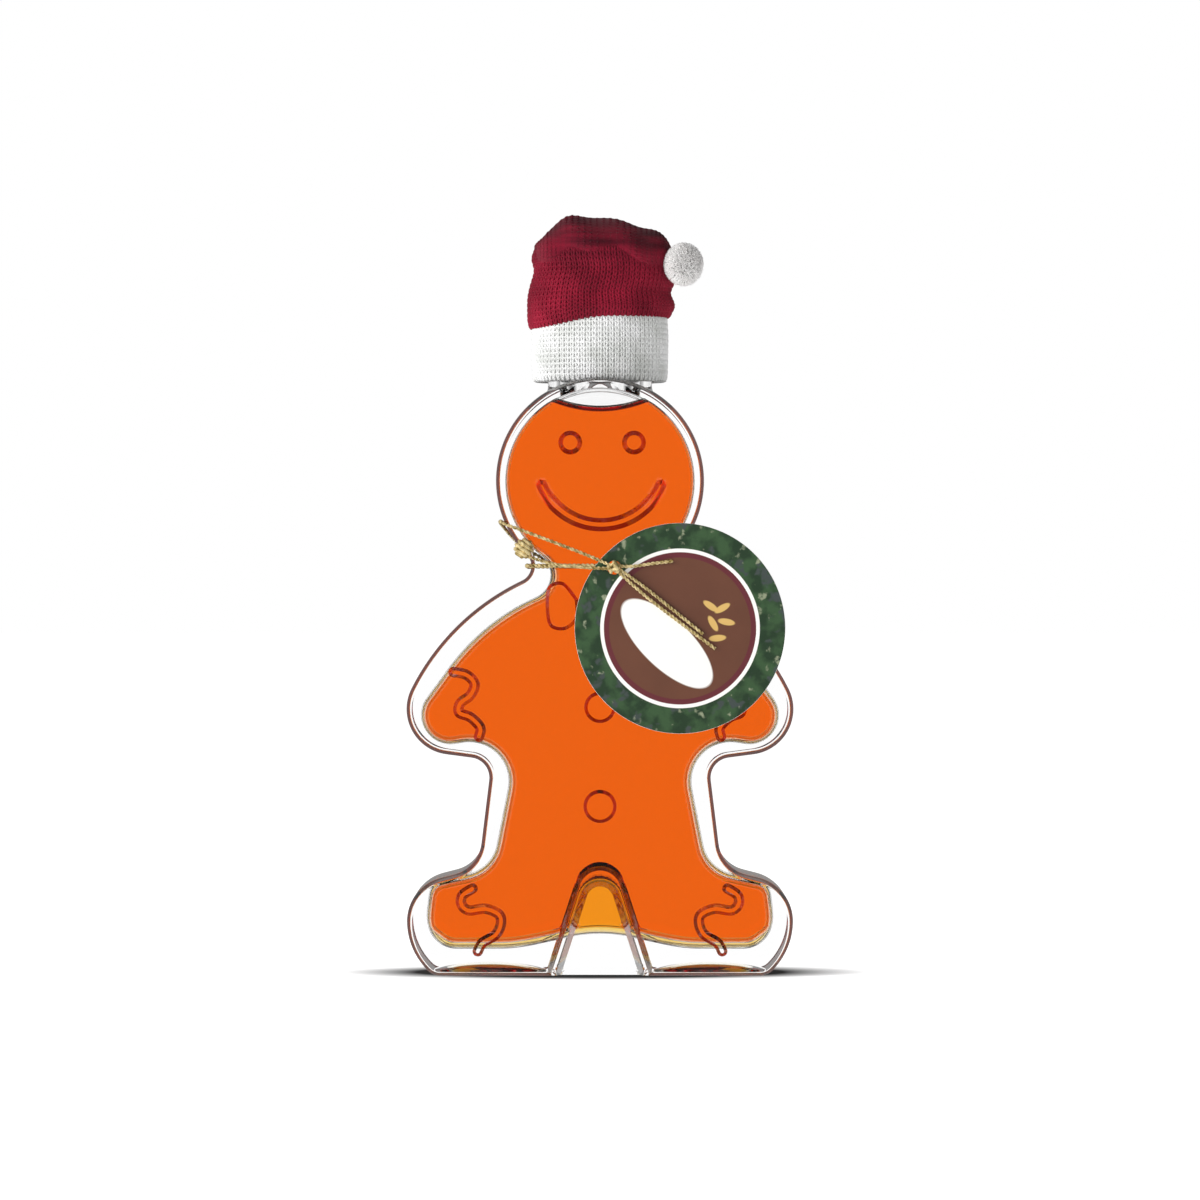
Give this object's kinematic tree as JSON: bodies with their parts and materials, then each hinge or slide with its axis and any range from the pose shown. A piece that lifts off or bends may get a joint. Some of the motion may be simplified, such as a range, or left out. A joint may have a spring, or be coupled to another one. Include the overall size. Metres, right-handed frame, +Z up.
{
  "type": "maple syrup bottle",
  "caption": "Clear glass gingerbread figure bottle filled with amber maple syrup, closed under a knitted winter hat, with a round hang tag on a gold cord.",
  "frame": {"origin": "centre of the bottle's flat base, on the surface it stands on", "axes": "+Z up through the neck, -Y out of the figure's face, +X to the right as seen from the front"},
  "size_m": [0.0958, 0.054, 0.1892],
  "materials": {
    "clear_glass": "clear, polished",
    "amber_syrup": "clear amber liquid",
    "red_knit": "ribbed wool knit",
    "white_knit": "ribbed wool knit",
    "white_wool": "short soft fibres",
    "printed_card": "satin printed card",
    "gold_cord": "twisted metallic thread"
  },
  "bodies": {
    "root": {"bottle": "clear_glass", "syrup": "amber_syrup", "hat_crown": "red_knit", "hat_cuff": "white_knit", "hat_pompom": "white_wool", "hang_tag": "printed_card", "gold_cord": "gold_cord"}
  },
  "joints": []
}
